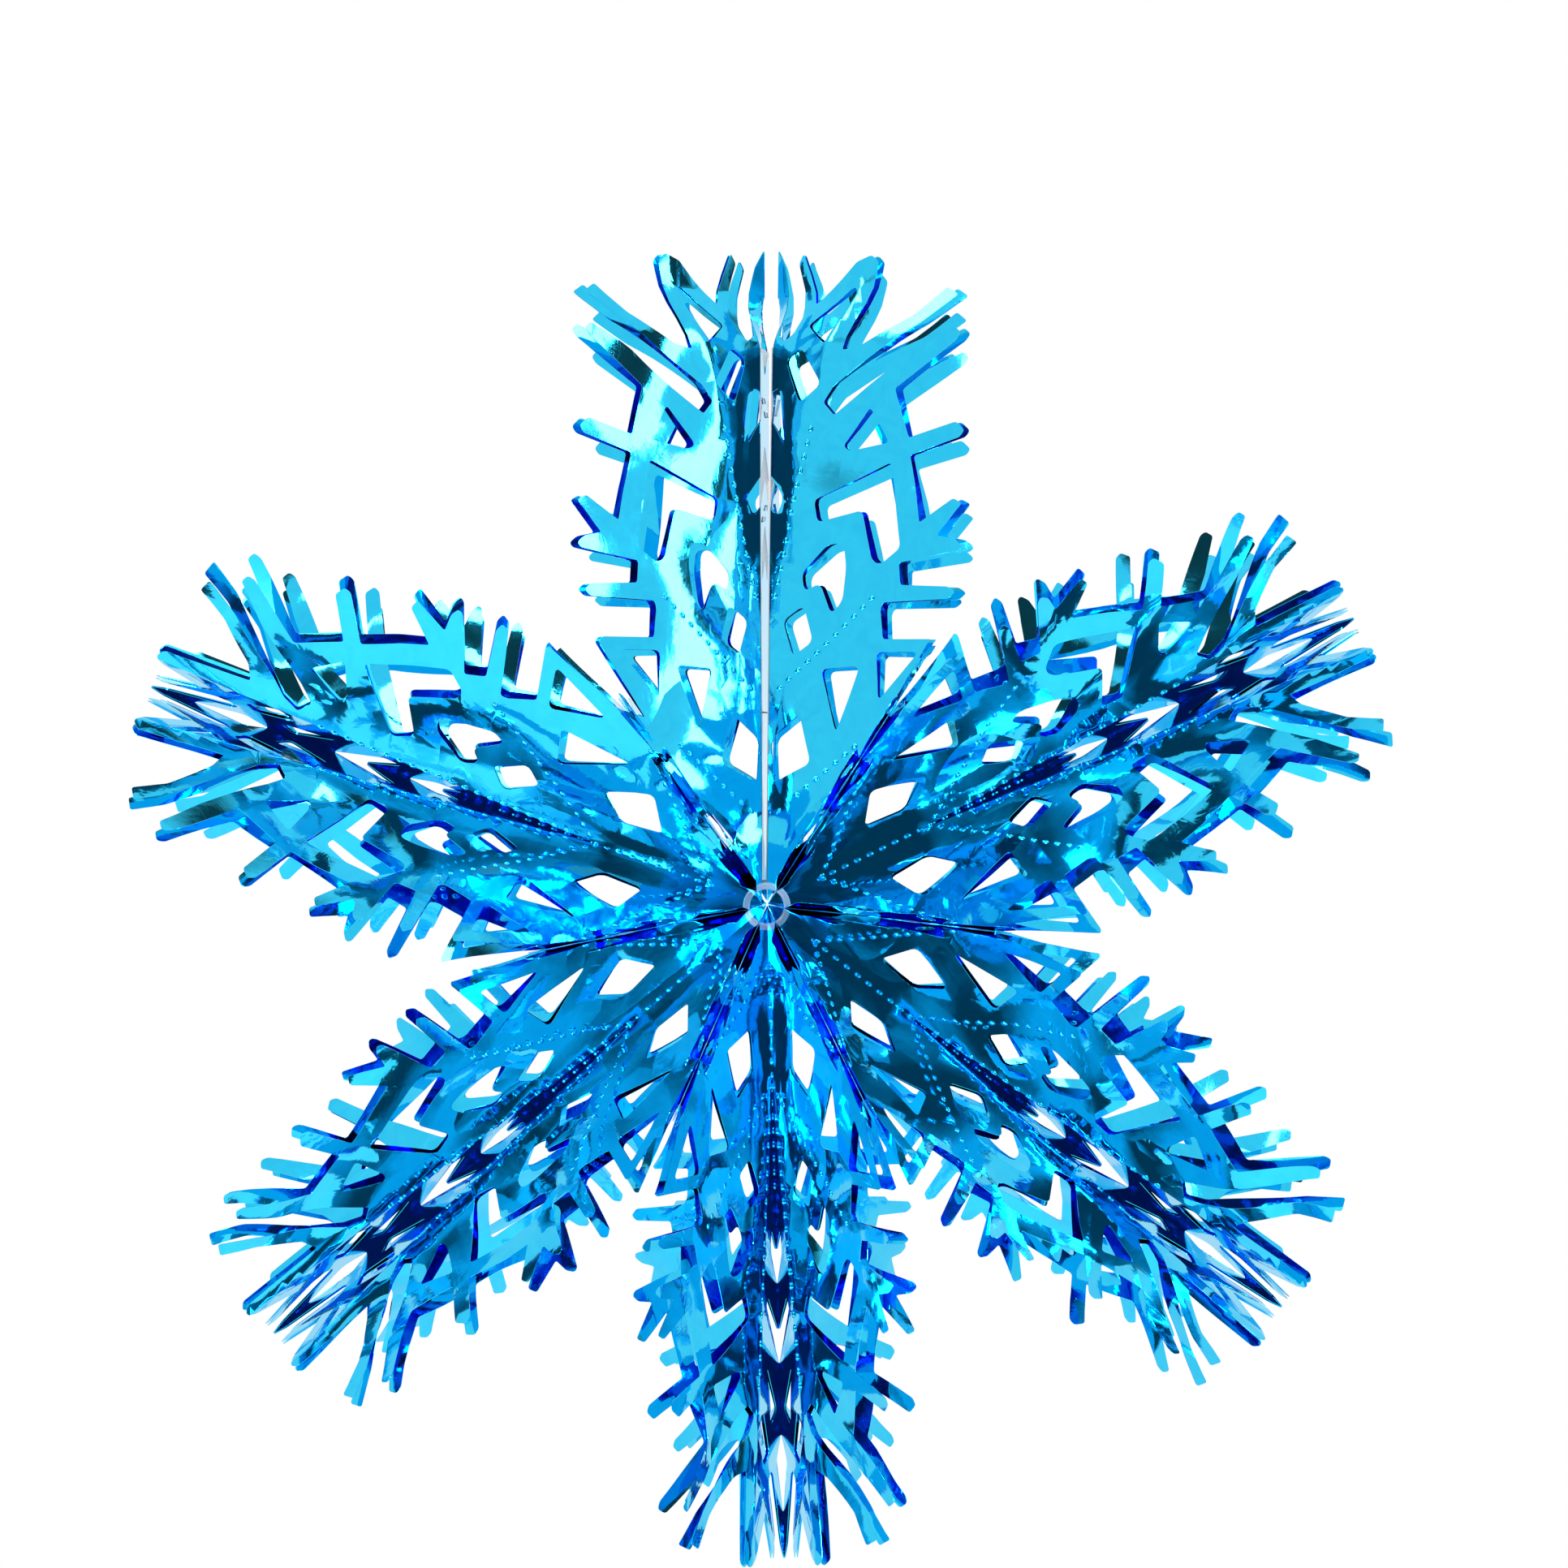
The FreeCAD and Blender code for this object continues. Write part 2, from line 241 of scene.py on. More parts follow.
def makeFilmGrain():
    # the faint sandy texture of metallised film, as a roughness
    group, given, out = newGroup("filmGrain", {"Scale": 2200.0, "Low": 0.07, "High": 0.16},
                                 ["Roughness"])
    nodes, links = group.nodes, group.links
    place = nodes.new("ShaderNodeTexCoord")
    grain = nodes.new("ShaderNodeTexNoise")
    grain.inputs["Detail"].default_value = 1.0
    spread = nodes.new("ShaderNodeMapRange")
    spread.inputs["From Min"].default_value = 0.3
    spread.inputs["From Max"].default_value = 0.7
    links.new(place.outputs["Object"], grain.inputs["Vector"])
    links.new(given.outputs["Scale"], grain.inputs["Scale"])
    links.new(grain.outputs["Fac"], spread.inputs["Value"])
    links.new(given.outputs["Low"], spread.inputs["To Min"])
    links.new(given.outputs["High"], spread.inputs["To Max"])
    links.new(spread.outputs["Result"], out.inputs["Roughness"])
    return group


filmWaves = makeFilmWaves()
filmGrain = makeFilmGrain()


def newMaterial(name, colour, metallic, waves, grain, bump):
    paint = bpy.data.materials.new(name)
    paint.use_nodes = True
    nodes, links = paint.node_tree.nodes, paint.node_tree.links
    shader = nodes["Principled BSDF"]
    shader.inputs["Base Color"].default_value = (*colour, 1)
    shader.inputs["Metallic"].default_value = metallic
    ripple = nodes.new("ShaderNodeGroup")
    ripple.node_tree = filmWaves
    speck = nodes.new("ShaderNodeGroup")
    speck.node_tree = filmGrain
    for socket, value in waves.items():
        ripple.inputs[socket].default_value = value
    for socket, value in grain.items():
        speck.inputs[socket].default_value = value
    relief = nodes.new("ShaderNodeBump")
    relief.inputs["Strength"].default_value = bump["strength"]
    relief.inputs["Distance"].default_value = bump["distance"]
    links.new(ripple.outputs["Height"], relief.inputs["Height"])
    links.new(relief.outputs["Normal"], shader.inputs["Normal"])
    links.new(speck.outputs["Roughness"], shader.inputs["Roughness"])
    return paint, shader


foilLook = {
    "blue": (0.025, 0.64, 0.94),
    "deepBlue": (0.014, 0.52, 0.88),
    "waves": {"Buckle Scale": 34.0, "Crease Scale": 150.0, "Crease Share": 0.16},
    "grain": {"Low": 0.035, "High": 0.08},
    "bump": {"strength": 0.1, "distance": 0.0022},
    "coat": 0.25,
    "coatRoughness": 0.04}


def makeBlueFoil():
    paint, shader = newMaterial("blueFoil", foilLook["blue"], 1.0, foilLook["waves"], foilLook["grain"],
                                foilLook["bump"])
    nodes, links = paint.node_tree.nodes, paint.node_tree.links
    tone = nodes.new("ShaderNodeMix")
    tone.data_type = "RGBA"
    tone.inputs["A"].default_value = (*foilLook["deepBlue"], 1)
    tone.inputs["B"].default_value = (*foilLook["blue"], 1)
    ripple = next(n for n in nodes if n.type == "GROUP" and n.node_tree == filmWaves)
    links.new(ripple.outputs["Mask"], tone.inputs["Factor"])
    links.new(tone.outputs["Result"], shader.inputs["Base Color"])
    shader.inputs["Coat Weight"].default_value = foilLook["coat"]
    shader.inputs["Coat Roughness"].default_value = foilLook["coatRoughness"]
    return paint


filmLook = {
    "strip": (0.62, (0.5, 0.47, 0.52)),        # alpha, tint
    "ring": (0.42, (0.5, 0.62, 0.75)),
    "waves": {"Buckle Scale": 18.0, "Crease Scale": 90.0, "Crease Share": 0.1},
    "grain": {"Low": 0.06, "High": 0.14},
    "bump": {"strength": 0.25, "distance": 0.001},
    "coat": 0.5}


def makeClearFilm(name, alpha, tint):
    paint, shader = newMaterial(name, tint, 0.0, filmLook["waves"], filmLook["grain"], filmLook["bump"])
    shader.inputs["Alpha"].default_value = alpha
    shader.inputs["Coat Weight"].default_value = filmLook["coat"]
    return paint


stapleLook = {
    "steel": (0.62, 0.63, 0.65),
    "waves": {"Buckle Scale": 200.0, "Crease Scale": 600.0},
    "grain": {"Low": 0.2, "High": 0.34},
    "bump": {"strength": 0.3, "distance": 0.0002}}


def makeStapleSteel():
    paint, _ = newMaterial("stapleSteel", stapleLook["steel"], 1.0, stapleLook["waves"],
                           stapleLook["grain"], stapleLook["bump"])
    return paint


blueFoil = makeBlueFoil()
clearStrip = makeClearFilm("clearStrip", *filmLook["strip"])
clearRing = makeClearFilm("clearRing", *filmLook["ring"])
stapleSteel = makeStapleSteel()
print("finishes ready")


# Half a leaf in mm: u runs out along the arm and v across it from the middle line.
leafOutline = [
    (204.0, -20.0), (204.0, 0.0), (198.6, 3.8), (176.1, 11.3), (174.5, 14.2), (176.9, 17.4),
    (181.5, 18.4), (198.9, 12.0), (202.0, 14.0), (185.6, 21.6), (198.2, 35.9), (200.0, 41.6),
    (197.8, 43.7), (170.8, 38.0), (172.2, 44.4), (180.8, 59.3), (189.3, 67.9), (186.8, 72.2),
    (178.6, 62.9), (160.1, 34.4), (155.1, 30.5), (151.2, 33.7), (169.4, 60.8), (176.9, 75.0),
    (175.1, 77.5), (172.9, 76.4), (158.7, 55.4), (143.8, 59.0), (148.4, 75.0), (145.8, 77.8),
    (143.8, 76.4), (138.4, 59.3), (127.4, 61.6), (117.8, 63.0), (125.1, 74.6), (123.5, 77.5),
    (113.9, 69.0), (112.7, 75.0), (110.7, 77.5), (109.3, 76.4), (105.7, 55.8), (99.0, 56.0),
    (98.4, 72.2), (96.7, 74.5), (94.7, 72.2), (93.7, 50.1), (91.6, 49.0), (82.5, 49.5),
    (82.5, 67.2), (80.9, 68.5), (58.0, 52.2), (61.9, 65.7), (59.9, 69.5), (57.1, 67.5),
    (44.4, 43.5), (44.2, 60.4), (42.3, 63.1), (40.0, 60.8), (32.2, 43.7), (29.4, 42.0),
    (28.8, 56.1), (27.1, 58.5), (24.4, 56.5), (18.0, 40.0), (16.3, 40.5), (14.2, 55.1),
    (11.2, 58.8), (8.5, 54.4), (5.2, 41.6), (4.0, 40.5), (2.5, 43.3), (0.5, 45.1),
    (-1.6, 41.6), (-4.1, 30.9), (-6.1, 18.1), (-3.7, 10.2), (0.5, 2.0), (0.3, 0.0), (0.3, -20.0)]
leafWindows = [
    [(190.4, 0.0), (172.9, 7.4), (164.4, 0.0)],
    [(190.7, 35.5), (179.0, 22.7), (172.9, 31.6), (189.0, 37.1)],
    [(172.2, 22.7), (168.7, 15.9), (155.1, 21.6), (160.8, 30.2)],
    [(160.8, 13.1), (156.7, 4.9), (142.2, 15.8)],
    [(153.4, 46.5), (141.6, 36.4), (140.2, 38.7), (142.5, 52.2)],
    [(136.6, 52.9), (125.3, 27.0), (118.4, 28.0), (121.9, 43.0), (106.4, 46.5),
     (105.2, 49.4), (110.3, 56.4)],
    [(111.7, 36.9), (111.7, 31.6), (102.8, 21.6), (97.2, 22.3), (99.8, 28.0),
     (90.2, 31.6), (94.1, 35.9), (104.6, 37.6)],
    [(143.8, 0.0), (126.3, 15.8), (120.6, 12.7), (133.1, 0.0)],
    [(119.0, 0.0), (109.3, 7.4), (100.4, 6.0), (108.3, 0.0)],
    [(93.0, 22.0), (88.2, 14.5), (77.2, 18.1), (81.9, 25.2)],
    [(74.3, 41.2), (73.3, 27.9), (53.7, 33.0)],
    [(78.6, 61.5), (78.6, 47.1), (63.6, 47.2)],
    [(59.6, 20.9), (51.6, 10.6), (37.9, 11.5), (44.3, 24.7)],
    [(29.7, 28.6), (19.7, 19.4), (14.3, 29.3), (23.3, 38.1)]]

leafCut = {
    "tipRound": 1.15,          # mm
    "windowRound": 2.0,
    "grid": 5.0,               # spacing of the score lines that let the foil bend
    "gridEnd": 205.0,
    "gridSide": 80.0,
    "roundSteps": 3,
    "weldWithin": 0.01,
    "sharpAngle": 32.0,        # edges sharper than this are not smoothed
    "creaseStart": 52.0,       # the V-shaped weld line leaves the middle line here
    "creaseAngle": 15.26,
    "foldAngle": 39.8,         # beyond this line from the star axis the leaf lies in the valley
    "holeAt": (39.2, 45.3), "holeRadius": 2.85, "holeSides": 16,
    "foil": 0.14}


def wholeWindow(points):
    # windows on the middle line go on to its other side
    if points[0][1] == 0 and points[-1][1] == 0:
        return points + [(u, -v) for u, v in reversed(points[1:-1])]
    return points


def score(bm, place, across, clearBeyond=False, clearWithin=False):
    bmesh.ops.bisect_plane(bm, geom=bm.verts[:] + bm.edges[:] + bm.faces[:], dist=0.0001,
                           plane_co=place, plane_no=across, clear_outer=clearBeyond,
                           clear_inner=clearWithin)


def cutLeaf():
    bm = bmesh.new()
    shapes = [(leafOutline, leafCut["tipRound"])]
    shapes += [(wholeWindow(window), leafCut["windowRound"]) for window in leafWindows]
    for points, roundness in shapes:
        corners = [bm.verts.new((u, v, 0)) for u, v in points]
        bm.faces.new(corners)
        bmesh.ops.bevel(bm, geom=corners, offset=roundness, affect="VERTICES",
                        offset_type="OFFSET", segments=leafCut["roundSteps"], profile=0.5, material=-1,
                        clamp_overlap=True)
    u, v = leafCut["holeAt"]
    bmesh.ops.create_circle(bm, cap_ends=True, segments=leafCut["holeSides"],
                            radius=leafCut["holeRadius"], matrix=Matrix.Translation((u, v, 0)))
    bmesh.ops.delete(bm, geom=bm.faces[:], context="FACES_ONLY")
    bmesh.ops.triangle_fill(bm, use_beauty=True, use_dissolve=False, edges=bm.edges[:],
                            normal=(0, 0, 1))
    score(bm, (0, 0, 0), (0, 1, 0), clearWithin=True)
    turn = math.radians(leafCut["creaseAngle"])
    score(bm, (leafCut["creaseStart"], 0, 0), (-math.sin(turn), math.cos(turn), 0))
    step = leafCut["grid"]
    count = int(leafCut["gridEnd"] / step)
    for line in range(1, count):
        score(bm, (line * step, 0, 0), (1, 0, 0))
        if line * step < leafCut["gridSide"]:
            score(bm, (0, line * step, 0), (0, 1, 0))
    bmesh.ops.remove_doubles(bm, verts=bm.verts[:], dist=leafCut["weldWithin"])
    return bm


blank = cutLeaf()
print("leaf cut", len(blank.faces))


def part(bm, name, material):
    mesh = bpy.data.meshes.new(name)
    bm.to_mesh(mesh)
    bm.free()
    mesh.materials.append(material)
    piece = bpy.data.objects.new(name, mesh)
    scene.collection.objects.link(piece)
    return piece


def addMesh(bm, other):
    mesh = bpy.data.meshes.new("scrap")
    other.to_mesh(mesh)
    other.free()
    bm.from_mesh(mesh)
    bpy.data.meshes.remove(mesh)


def finishFoil(bm, thickness):
    sharp = math.radians(leafCut["sharpAngle"])
    bmesh.ops.triangulate(bm, faces=bm.faces[:])
    bmesh.ops.recalc_face_normals(bm, faces=bm.faces[:])
    bmesh.ops.solidify(bm, geom=bm.faces[:], thickness=thickness)
    for face in bm.faces:
        face.smooth = True
    for edge in bm.edges:
        edge.smooth = len(edge.link_faces) == 2 and edge.calc_face_angle(0) < sharp


# Rows of embossed dashes, from one end to the other on the flat leaf.
weldRows = {
    "crease": ((147.0, 25.9), (66.0, 3.8), 20),
    "middle": ((94.8, 46.2), (56.4, 0.6), 15),
    "lobe": ((52.0, 42.7), (19.3, 0.7), 14),
    "spine": ((87.7, 0.0), (18.5, 0.0), 17)}
weldDash = {"length": 2.6, "width": 1.7, "height": 0.95, "sides": 8, "rings": 4}


def rowSpots(name):
    start, end, count = weldRows[name]
    begin, finish = Vector(start), Vector(end)
    along = (finish - begin).normalized()
    return [(begin.lerp(finish, index / (count - 1)), along) for index in range(count)]


def addDashes(bm, spots, lay):
    # lay(u, v) gives a point of the bent sheet in mm
    dashes = bmesh.new()
    for spot, along in spots:
        here = lay(spot.x, spot.y)
        ahead = (lay(spot.x + along.x * 0.5, spot.y + along.y * 0.5) - here).normalized()
        aside = (lay(spot.x - along.y * 0.5, spot.y + along.x * 0.5) - here).normalized()
        up = ahead.cross(aside).normalized()
        aside = up.cross(ahead)
        size = (weldDash["length"] / 2, weldDash["width"] / 2, weldDash["height"] / 2)
        turn = Matrix((ahead, aside, up)).transposed().to_4x4()
        place = Matrix.Translation(here * mm) @ turn @ Matrix.Diagonal((*[s * mm for s in size], 1))
        bmesh.ops.create_uvsphere(dashes, u_segments=weldDash["sides"],
                                  v_segments=weldDash["rings"], radius=1, matrix=place)
    for face in dashes.faces:
        face.smooth = True
    addMesh(bm, dashes)


armSet = {
    "names": ["top", "upper_left", "lower_left", "bottom", "lower_right", "upper_right"],
    "offsets": [0.0, 70.5, 131.0, 181.5, 232.0, 296.0, 359.2],    # counter-clockwise from the front
    "topAngle": 90.0,
    "troughTilt": 15.0,        # the strips by the middle line lean this far each way
    "splay": 3.6,              # the two leaves of a wing stand this far either side of its tilt
    "steepest": 58.0,
    "layerGap": 0.25,
    "lift": 0.26,              # the crease rises towards the tip as the wing opens
    "liftFrom": 52.0, "liftOver": 30.0,
    "troughSplay": 1.2,
    "openFrom": 45.0, "openOver": 60.0,        # the two leaves part along this length
    "wander": (7.0, 55.0),     # degrees and mm of a slow change of tilt
    "puff": (2.6, 32.0), "finePuff": (0.12, 13.0), "puffOver": 12.0,
    "sideGap": 0.15, "leastAside": 0.05, "sideUntil": 75.0,    # stays on its side of the valley
    "blendAt": 110.0, "blendFrom": 13.0, "blendOver": 14.0}    # along the arm, then in depth


def armAxes(angle):
    turn = math.radians(angle)
    along = Vector((math.cos(turn), 0, math.sin(turn)))
    across = Vector((-math.sin(turn), 0, math.cos(turn)))
    return along, across, Vector((0, -1, 0))


def smoothStep(value):
    value = min(max(value, 0.0), 1.0)
    return value * value * (3 - 2 * value)


def creaseAt(u):
    return max(0.0, math.tan(math.radians(leafCut["creaseAngle"])) * (u - leafCut["creaseStart"]))


def foldTilt(gap):
    sine = math.tan(math.radians(gap / 2)) / math.tan(math.radians(leafCut["foldAngle"]))
    return min(math.degrees(math.asin(min(sine, 1.0))), armSet["steepest"])


def ripple(u, v, seed, scale):
    return noise.noise(Vector((u / scale, v / scale, seed * 7.31)))


def layWing(angle, side, face, gap, layer, seed):
    # a point of the flat leaf goes to its place on the opened wing, in mm
    along, across, forward = armAxes(angle)
    foldedTilt = foldTilt(gap)
    sign = 1 if layer else -1
    half = math.radians(gap / 2)
    wander, wanderScale = armSet["wander"]
    puffHeight, puffScale = armSet["puff"]
    fineHeight, fineScale = armSet["finePuff"]

    def lay(u, v):
        crease = creaseAt(u)
        inner = min(v, crease)
        outer = v - inner
        opened = smoothStep((u - armSet["openFrom"]) / armSet["openOver"])
        trough = math.radians(armSet["troughTilt"] + sign * armSet["troughSplay"])
        tilt = foldedTilt + sign * armSet["splay"] * opened
        tilt += opened * wander * ripple(u, 0, seed, wanderScale)
        lean = math.radians(tilt)
        aside = inner * math.sin(trough) + outer * math.sin(lean)
        ahead = inner * math.cos(trough) + outer * math.cos(lean)
        rising = smoothStep((u - armSet["liftFrom"]) / armSet["liftOver"])
        out = u + outer * (1 - math.cos(lean)) * armSet["lift"] * rising
        bend = smoothStep(outer / armSet["puffOver"]) * (0.5 + opened)
        fine = fineHeight * ripple(v, u, seed, fineScale)
        puff = bend * (puffHeight * ripple(u, v, seed, puffScale) + fine)
        aside += puff * math.cos(lean)
        ahead -= puff * math.sin(lean)
        aside += (sign + 1) * armSet["layerGap"] / 2
        limit = out * math.tan(half) - armSet["sideGap"]
        if aside > limit and u < armSet["sideUntil"]:
            aside = max(limit, armSet["leastAside"])
        return centre + along * out + across * (side * aside) + forward * (face * ahead)
    return lay


def bendSheet(bm, lay):
    for vertex in bm.verts:
        vertex.co = lay(vertex.co.x, vertex.co.y) * mm


def wingLeaf():
    bm = blank.copy()
    turn = math.radians(leafCut["foldAngle"])
    score(bm, (0, 0, 0), (-math.sin(turn), math.cos(turn), 0), clearBeyond=True)
    return bm


def belowFold(spot):
    return math.degrees(math.atan2(spot.y, spot.x)) < leafCut["foldAngle"] - 0.5


def makeArmWings():
    for index in range(1, len(armSet["names"])):
        name = armSet["names"][index]
        angle = armSet["topAngle"] + armSet["offsets"][index]
        gaps = {1: armSet["offsets"][index + 1] - armSet["offsets"][index],
                -1: armSet["offsets"][index] - armSet["offsets"][index - 1]}
        for side, word in ((1, "ccw"), (-1, "cw")):
            for face, faceWord in ((1, "front"), (-1, "back")):
                node = f"{name}_{word}_wing_{faceWord}"
                whole = bmesh.new()
                for layer in (0, 1):
                    seed = index * 4 + side + face * 0.5 + layer * 0.37
                    lay = layWing(angle, side, face, gaps[side], layer, seed)
                    sheet = wingLeaf()
                    bendSheet(sheet, lay)
                    finishFoil(sheet, leafCut["foil"] * mm)
                    addMesh(whole, sheet)
                    for row in ("crease", "middle", "lobe"):
                        addDashes(whole, [s for s in rowSpots(row) if belowFold(s[0])], lay)
                piece = part(whole, f"{node}_leaves", blueFoil)
                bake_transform(piece)
                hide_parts(node)
        print("arm", name)


makeArmWings()


def makeSpines():
    for index in range(1, len(armSet["names"])):
        name = armSet["names"][index]
        along, _, forward = armAxes(armSet["topAngle"] + armSet["offsets"][index])
        bm = bmesh.new()

        def lay(u, v):
            return centre + along * u + forward * v
        addDashes(bm, rowSpots("spine"), lay)
        piece = part(bm, f"{name}_spine_welds", blueFoil)
        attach(piece, f"{name}_arm")
        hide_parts(f"{name}_web")


makeSpines()


finSet = {
    "turn": -10.7, "curlAt": 65.0,             # degrees
    "start": 1.9, "end": 63.0,                 # mm from the star axis
    "layerGap": 0.1, "partBy": 1.2, "partMore": 0.02,
    "partFrom": 18.0, "partOver": 20.0, "partTurn": 1.5,
    "puff": (1.5, 22.0)}


def layFin(middle, face, gap, layer, seed):
    along, across, forward = armAxes(middle)
    fold = math.radians(leafCut["foldAngle"])
    sine = math.tan(math.radians(gap / 2)) / math.tan(fold)
    sine = min(sine, math.sin(math.radians(armSet["steepest"])))
    depthShare = math.sin(fold) * math.sqrt(1 - sine * sine)
    edgeTurn = math.degrees(math.atan2(depthShare, math.cos(fold) / math.cos(math.radians(gap / 2))))
    edgeTurn -= leafCut["foldAngle"]
    sign = 1 if layer else -1
    puffHeight, puffScale = finSet["puff"]

    def lay(u, v):
        polar = math.degrees(math.atan2(v, u))
        beyond = (polar - leafCut["foldAngle"]) / (finSet["curlAt"] - leafCut["foldAngle"])
        share = smoothStep(beyond)
        turn = math.radians(edgeTurn * (1 - share) + finSet["turn"] * share)
        out = u * math.cos(turn) - v * math.sin(turn)
        ahead = u * math.sin(turn) + v * math.cos(turn)
        away = math.hypot(u, v)
        spread = smoothStep(beyond * finSet["partTurn"])
        spread *= smoothStep((away - finSet["partFrom"]) / finSet["partOver"])
        aside = sign * (finSet["layerGap"] + spread * (finSet["partBy"] + finSet["partMore"] * away))
        aside += spread * puffHeight * ripple(u, v, seed, puffScale)
        return centre + along * out + across * aside + forward * (face * ahead)
    return lay


def makeFins():
    turn = math.radians(leafCut["foldAngle"])
    for index, name in enumerate(armSet["names"]):
        gap = armSet["offsets"][index + 1] - armSet["offsets"][index]
        middle = armSet["topAngle"] + armSet["offsets"][index] + gap / 2
        for face, faceWord in ((1, "front"), (-1, "back")):
            node = f"{name}_valley_fin_{faceWord}"
            whole = bmesh.new()
            for layer in (0, 1):
                lay = layFin(middle, face, gap, layer, index * 3 + face * 0.5 + layer * 0.41)
                sheet = blank.copy()
                score(sheet, (0, 0, 0), (-math.sin(turn), math.cos(turn), 0), clearWithin=True)
                score(sheet, (finSet["start"], 0, 0), (1, 0, 0), clearWithin=True)
                score(sheet, (finSet["end"], 0, 0), (1, 0, 0), clearBeyond=True)
                bendSheet(sheet, lay)
                finishFoil(sheet, leafCut["foil"] * mm)
                addMesh(whole, sheet)
            piece = part(whole, f"{node}_leaves", blueFoil)
            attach(piece, f"{name}_valley")
            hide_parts(node)
    print("fins")


makeFins()


topSet = {
    # side, degrees round, tilt near the strip, tilt beyond the crease, gap to the next arm
    "halves": {"left": (1, 0.0, 48.0, 57.0, 70.5), "right": (-1, 359.2, 50.0, 64.0, 63.2)},
    "bandEdge": 10.0, "bandFace": 0.95, "splay": 2.5,
    "stripEnd": 171.0, "tipSpread": 38.0,      # past the strip the flat middle opens out
    "tipOver": 22.0,
    "openFrom": 60.0, "openOver": 50.0,
    "wander": (4.0, 60.0),
    "puff": (2.6, 32.0), "puffOver": 10.0,
    "sideUntil": 80.0, "dashesFrom": 11.0, "middleStart": 6.0,
    "strip": (5.0, 173.0, 9.5, 0.4, 0.7),      # start, end, half width, thickness, from the middle
    "holeRadius": 3.2, "holeSides": 28,
    "scores": 22, "scoreStep": 8.0,
    "wireWeld": 0.00001,                       # m
    "lean": 7.5,                               # the two strips lean this far off edge-on at the top
    "footLean": 0.6, "leanFrom": 15.0, "leanOver": 110.0}


def leanOver(point):
    # the middle of the split arm leans sideways, more towards the top; point in mm
    height = (point.z - centre.z - topSet["leanFrom"]) / topSet["leanOver"]
    rise = topSet["footLean"] + (1 - topSet["footLean"]) * smoothStep(height)
    edge = topSet["bandEdge"]
    point.x += rise * math.tan(math.radians(topSet["lean"])) * max(-edge, min(edge, point.y))
    return point


def layTopLeaf(side, angle, tilts, gap, face, layer, seed):
    along, across, forward = armAxes(angle)
    sign = 1 if layer else -1
    half = math.radians(gap / 2)
    nearTilt, farTilt = tilts
    edge = topSet["bandEdge"]
    splay = sign * topSet["splay"]
    wander, wanderScale = topSet["wander"]
    puffHeight, puffScale = topSet["puff"]

    def lay(u, v):
        tip = smoothStep((u - topSet["stripEnd"]) / topSet["tipOver"])
        opened = smoothStep((u - topSet["openFrom"]) / topSet["openOver"])
        band = min(v, edge)
        near = min(max(v - edge, 0.0), max(creaseAt(u) - edge, 0.0))
        outer = v - band - near
        flatLean = math.radians(topSet["tipSpread"] * tip)
        nearLean = math.radians(nearTilt + splay * opened)
        turn = splay * opened + wander * ripple(u, 0, seed, wanderScale) * opened
        farLean = math.radians(farTilt + turn)
        puff = smoothStep((v - edge) / topSet["puffOver"]) * puffHeight * ripple(u, v, seed, puffScale)
        aside = topSet["bandFace"] + band * math.sin(flatLean) + near * math.sin(nearLean)
        aside += outer * math.sin(farLean) + puff * math.cos(farLean)
        aside += sign * armSet["layerGap"] / 2
        ahead = band * math.cos(flatLean) + near * math.cos(nearLean) + outer * math.cos(farLean)
        ahead -= puff * math.sin(farLean)
        limit = u * math.tan(half) - armSet["sideGap"]
        if aside > limit and v > edge and u < topSet["sideUntil"]:
            aside = max(limit, armSet["leastAside"])
        return leanOver(centre + along * u + across * (side * aside) + forward * (face * ahead))
    return lay


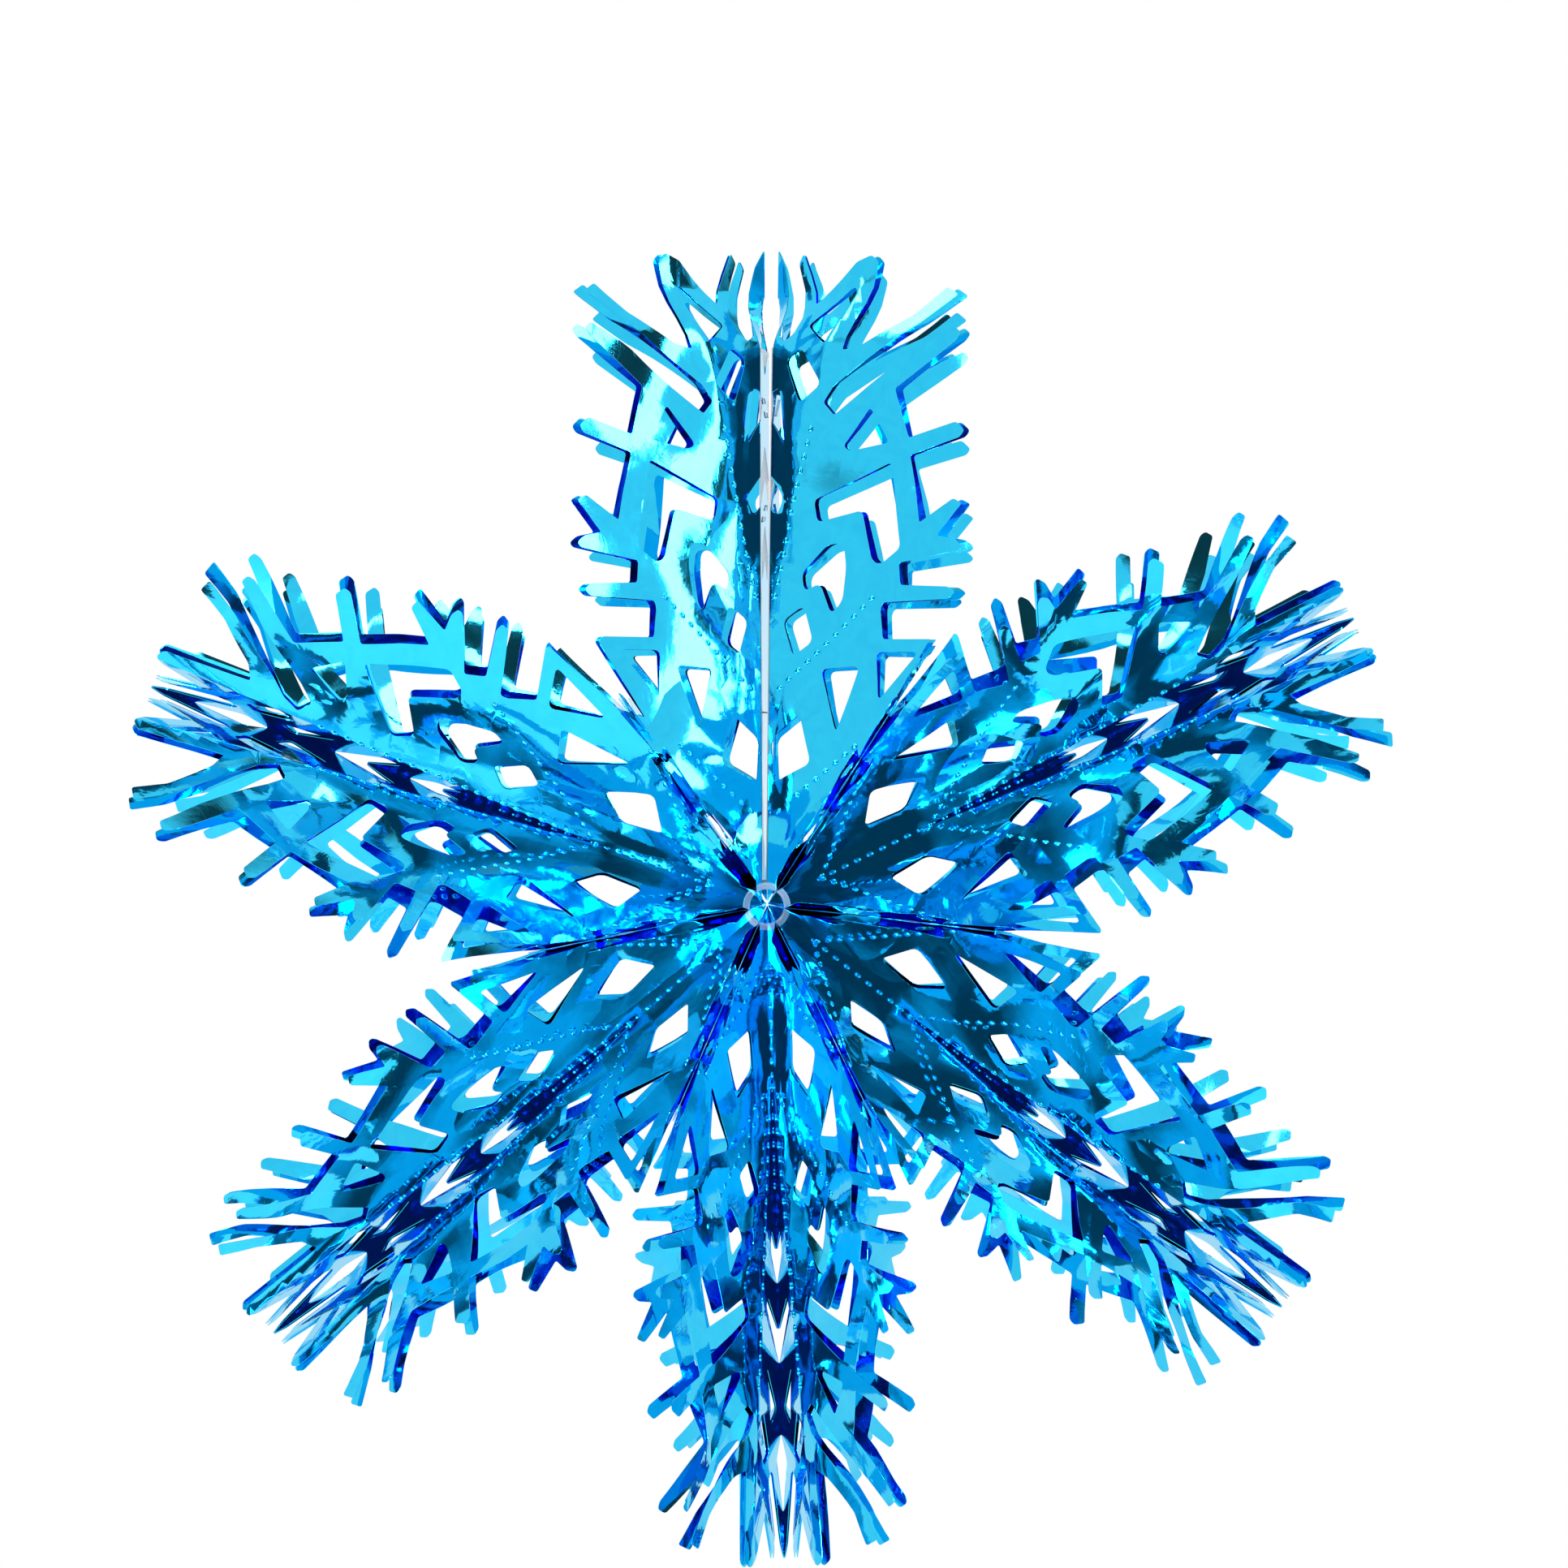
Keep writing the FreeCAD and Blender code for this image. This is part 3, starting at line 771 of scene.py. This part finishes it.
def makeTopLeaves():
    for word, (side, offset, nearTilt, farTilt, gap) in topSet["halves"].items():
        band = bmesh.new()
        for face, faceWord in ((1, "front"), (-1, "back")):
            node = f"top_{word}_wing_{faceWord}"
            whole = bmesh.new()
            for layer in (0, 1):
                seed = 41 + side + face * 0.5 + layer * 0.37
                lay = layTopLeaf(side, armSet["topAngle"] + offset, (nearTilt, farTilt), gap, face,
                                 layer, seed)
                slope = math.tan(math.radians(gap / 2)) / math.sin(math.radians(farTilt))
                foot = topSet["bandEdge"] - topSet["bandFace"] / math.sin(math.radians(farTilt))
                sheet = blank.copy()
                score(sheet, (0, foot, 0), (-slope, 1, 0), clearBeyond=True)
                middle = sheet.copy()
                score(sheet, (0, topSet["bandEdge"], 0), (0, 1, 0), clearWithin=True)
                score(middle, (0, topSet["bandEdge"], 0), (0, 1, 0), clearBeyond=True)
                score(middle, (topSet["middleStart"], 0, 0), (1, 0, 0), clearWithin=True)
                for piece, target in ((sheet, whole), (middle, band)):
                    bendSheet(piece, lay)
                    finishFoil(piece, leafCut["foil"] * mm)
                    addMesh(target, piece)
                for row in ("crease", "middle", "lobe"):
                    spots = [s for s in rowSpots(row) if belowFold(s[0]) and s[0].y > topSet["dashesFrom"]]
                    addDashes(whole, spots, lay)
            wing = part(whole, f"{node}_leaves", blueFoil)
            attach(wing, f"{node}_body")
            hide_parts(node)
        middle = part(band, f"top_{word}_leaf_middle", blueFoil)
        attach(middle, "first_leaf" if word == "left" else "last_leaf")
        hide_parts(f"top_{word}_leaf_band")
    print("top leaves")


makeTopLeaves()


def makeStrips():
    start, end, halfWidth, thickness, offMiddle = topSet["strip"]
    for word, half in topSet["halves"].items():
        side, offset = half[:2]
        along, across, forward = armAxes(armSet["topAngle"] + offset)
        middle = centre + across * (side * offMiddle)
        bm = bmesh.new()
        corners = [(start, -halfWidth), (end, -halfWidth), (end, halfWidth), (start, halfWidth)]
        bm.faces.new([bm.verts.new((u, v, 0)) for u, v in corners])
        bmesh.ops.create_circle(bm, segments=topSet["holeSides"], radius=topSet["holeRadius"],
                                matrix=Matrix.Translation((-centre.z, 0, 0)))
        bmesh.ops.delete(bm, geom=bm.faces[:], context="FACES_ONLY")
        bmesh.ops.triangle_fill(bm, use_beauty=True, edges=bm.edges[:], normal=(0, 0, 1))
        for line in range(1, topSet["scores"]):
            score(bm, (start + line * topSet["scoreStep"], 0, 0), (1, 0, 0))
        for vertex in bm.verts:
            u, v = vertex.co.x, vertex.co.y
            vertex.co = leanOver(middle + along * u + forward * v) * mm
        finishFoil(bm, thickness * mm)
        strip = part(bm, f"top_{word}_clear_strip", clearStrip)
        body = "first_leaf" if word == "left" else "last_leaf"
        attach(strip, body)
        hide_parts(f"top_{word}_stiffener_strip")

        wires = bmesh.new()
        wires.from_mesh(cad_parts[f"top_{word}_staples"].data)
        bmesh.ops.remove_doubles(wires, verts=wires.verts[:], dist=topSet["wireWeld"])
        for vertex in wires.verts:
            vertex.co = leanOver(vertex.co / mm) * mm
        for edge in wires.edges:
            edge.smooth = False
        staples = part(wires, f"top_{word}_wire_staples", stapleSteel)
        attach(staples, body)
        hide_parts(f"top_{word}_staples")
    print("strips and staples")


makeStrips()


def dressCad():
    # only the two rings stay as the CAD made them
    for name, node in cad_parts.items():
        if name.endswith("ring"):
            node.data.materials.clear()
            node.data.materials.append(clearRing)


dressCad()
print("kept pieces dressed")
